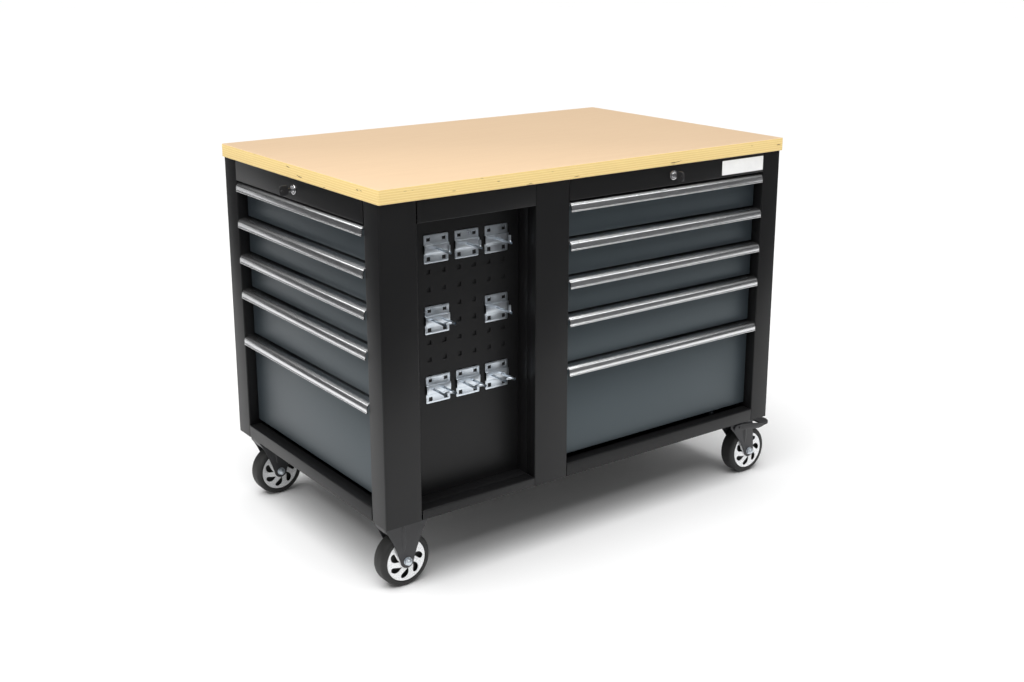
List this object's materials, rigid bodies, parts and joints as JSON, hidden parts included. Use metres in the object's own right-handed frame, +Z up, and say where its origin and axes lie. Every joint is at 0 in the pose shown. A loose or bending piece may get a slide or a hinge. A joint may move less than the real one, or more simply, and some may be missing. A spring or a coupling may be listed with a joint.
{
  "type": "mobile workbench with drawers",
  "caption": "Wheeled steel workbench with a plywood top, drawers at one end and along the front, and a recessed perforated panel with tool hooks between them.",
  "frame": {"origin": "on the floor, under the middle of the overall box (worktop, keys and brake pedals included)", "axes": "+X along the worktop to the right as seen from the front, +Y to the back, +Z up; the wide drawers open towards -Y and the end drawers towards -X"},
  "size_m": [1.209, 0.7426, 0.871],
  "materials": {
    "worktop_ply": "lacquered birch plywood, satin",
    "body_black": "fine satin powder coat",
    "drawer_grey": "fine satin powder coat",
    "pull_aluminium": "brushed and anodised",
    "zinc": "bright zinc plate",
    "badge_white": "gloss, blank",
    "lock_chrome": "polished",
    "key_black": "moulded bow, steel blade",
    "caster_black": "satin black",
    "tyre_black": "matte",
    "cover_silver": "silver-white gloss"
  },
  "bodies": {
    "cabinet": {"worktop": "worktop_ply", "top_frame": "body_black", "corner_front_left": "body_black", "post_centre": "body_black", "side_right": "body_black", "back_panel": "body_black", "base_pan": "body_black", "recess_liner": "body_black", "peg_panel": "body_black", "runner_panels": "body_black", "slide_rails_front": "zinc", "slide_rails_end": "zinc", "hooks_single": "zinc", "hooks_loop": "zinc", "badge_plate": "badge_white", "lock_barrels": "lock_chrome", "fasteners": "zinc", "caster_bracket_front_left": "caster_black", "caster_bracket_rear_left": "caster_black", "caster_plate_front_right": "caster_black", "caster_plate_rear_right": "caster_black", "axles_left": "zinc"},
    "drawer_front_1": {"drawer_front_1": "drawer_grey", "pull_front_1": "pull_aluminium"},
    "drawer_front_2": {"drawer_front_2": "drawer_grey", "pull_front_2": "pull_aluminium"},
    "drawer_front_3": {"drawer_front_3": "drawer_grey", "pull_front_3": "pull_aluminium"},
    "drawer_front_4": {"drawer_front_4": "drawer_grey", "pull_front_4": "pull_aluminium"},
    "drawer_front_5": {"drawer_front_5": "drawer_grey", "pull_front_5": "pull_aluminium"},
    "drawer_end_1": {"drawer_end_1": "drawer_grey", "pull_end_1": "pull_aluminium"},
    "drawer_end_2": {"drawer_end_2": "drawer_grey", "pull_end_2": "pull_aluminium"},
    "drawer_end_3": {"drawer_end_3": "drawer_grey", "pull_end_3": "pull_aluminium"},
    "drawer_end_4": {"drawer_end_4": "drawer_grey", "pull_end_4": "pull_aluminium"},
    "drawer_end_5": {"drawer_end_5": "drawer_grey", "pull_end_5": "pull_aluminium"},
    "wheel_front_left": {"wheel_front_left": "tyre_black", "wheel_covers_front_left": "cover_silver"},
    "fork_front_right": {"caster_fork_front_right": "caster_black", "axle_front_right": "zinc"},
    "wheel_front_right": {"wheel_front_right": "tyre_black", "wheel_covers_front_right": "cover_silver"},
    "pedal_front_right": {"brake_pedal_front_right": "caster_black"},
    "wheel_rear_left": {"wheel_rear_left": "tyre_black", "wheel_covers_rear_left": "cover_silver"},
    "fork_rear_right": {"caster_fork_rear_right": "caster_black", "axle_rear_right": "zinc"},
    "wheel_rear_right": {"wheel_rear_right": "tyre_black", "wheel_covers_rear_right": "cover_silver"},
    "pedal_rear_right": {"brake_pedal_rear_right": "caster_black"},
    "key_front": {"key_front": "key_black"},
    "lock_bar_front": {"lock_bar_front": "zinc"},
    "key_end": {"key_end": "key_black"},
    "lock_bar_end": {"lock_bar_end": "zinc"}
  },
  "joints": [
    {"name": "drawer_front_1_slide", "type": "slide", "parent": "cabinet", "child": "drawer_front_1", "axis": [0, -1, 0], "range_m": [0, 0.41]},
    {"name": "drawer_front_2_slide", "type": "slide", "parent": "cabinet", "child": "drawer_front_2", "axis": [0, -1, 0], "range_m": [0, 0.41]},
    {"name": "drawer_front_3_slide", "type": "slide", "parent": "cabinet", "child": "drawer_front_3", "axis": [0, -1, 0], "range_m": [0, 0.41]},
    {"name": "drawer_front_4_slide", "type": "slide", "parent": "cabinet", "child": "drawer_front_4", "axis": [0, -1, 0], "range_m": [0, 0.41]},
    {"name": "drawer_front_5_slide", "type": "slide", "parent": "cabinet", "child": "drawer_front_5", "axis": [0, -1, 0], "range_m": [0, 0.41]},
    {"name": "drawer_end_1_slide", "type": "slide", "parent": "cabinet", "child": "drawer_end_1", "axis": [-1, 0, 0], "range_m": [0, 0.3]},
    {"name": "drawer_end_2_slide", "type": "slide", "parent": "cabinet", "child": "drawer_end_2", "axis": [-1, 0, 0], "range_m": [0, 0.3]},
    {"name": "drawer_end_3_slide", "type": "slide", "parent": "cabinet", "child": "drawer_end_3", "axis": [-1, 0, 0], "range_m": [0, 0.3]},
    {"name": "drawer_end_4_slide", "type": "slide", "parent": "cabinet", "child": "drawer_end_4", "axis": [-1, 0, 0], "range_m": [0, 0.3]},
    {"name": "drawer_end_5_slide", "type": "slide", "parent": "cabinet", "child": "drawer_end_5", "axis": [-1, 0, 0], "range_m": [0, 0.3]},
    {"name": "wheel_front_left_spin", "type": "hinge", "parent": "cabinet", "child": "wheel_front_left", "pos_m": [-0.5035, -0.28225, 0.06], "axis": [0, 1, 0], "continuous": true},
    {"name": "caster_front_right_swivel", "type": "hinge", "parent": "cabinet", "child": "fork_front_right", "pos_m": [0.4825, -0.28225, 0.1475], "axis": [0, 0, 1], "continuous": true},
    {"name": "wheel_front_right_spin", "type": "hinge", "parent": "fork_front_right", "child": "wheel_front_right", "pos_m": [0.5265, -0.28225, 0.06], "axis": [0, 1, 0], "continuous": true},
    {"name": "brake_front_right", "type": "hinge", "parent": "fork_front_right", "child": "pedal_front_right", "pos_m": [0.4845, -0.28225, 0.134], "axis": [0, 1, 0], "range_deg": [0, 10]},
    {"name": "wheel_rear_left_spin", "type": "hinge", "parent": "cabinet", "child": "wheel_rear_left", "pos_m": [-0.5035, 0.30975, 0.06], "axis": [0, 1, 0], "continuous": true},
    {"name": "caster_rear_right_swivel", "type": "hinge", "parent": "cabinet", "child": "fork_rear_right", "pos_m": [0.4825, 0.30975, 0.1475], "axis": [0, 0, 1], "continuous": true},
    {"name": "wheel_rear_right_spin", "type": "hinge", "parent": "fork_rear_right", "child": "wheel_rear_right", "pos_m": [0.5265, 0.30975, 0.06], "axis": [0, 1, 0], "continuous": true},
    {"name": "brake_rear_right", "type": "hinge", "parent": "fork_rear_right", "child": "pedal_rear_right", "pos_m": [0.4845, 0.30975, 0.134], "axis": [0, 1, 0], "range_deg": [0, 10]},
    {"name": "key_front_turn", "type": "hinge", "parent": "cabinet", "child": "key_front", "pos_m": [0.201, -0.33725, 0.817], "axis": [0, 1, 0], "range_deg": [0, 93]},
    {"name": "lock_bar_front_slide", "type": "slide", "parent": "cabinet", "child": "lock_bar_front", "axis": [1, 0, 0], "range_m": [0, 0.01273]},
    {"name": "key_end_turn", "type": "hinge", "parent": "cabinet", "child": "key_end", "pos_m": [-0.5705, 0.01575, 0.817], "axis": [1, 0, 0], "range_deg": [0, 93]},
    {"name": "lock_bar_end_slide", "type": "slide", "parent": "cabinet", "child": "lock_bar_end", "axis": [0, -1, 0], "range_m": [0, 0.01273]}
  ],
  "couplings": [
    {"joint": "key_front_turn", "follows": "lock_bar_front_slide", "rad_per_m": 123.39},
    {"joint": "key_end_turn", "follows": "lock_bar_end_slide", "rad_per_m": 123.39}
  ]
}
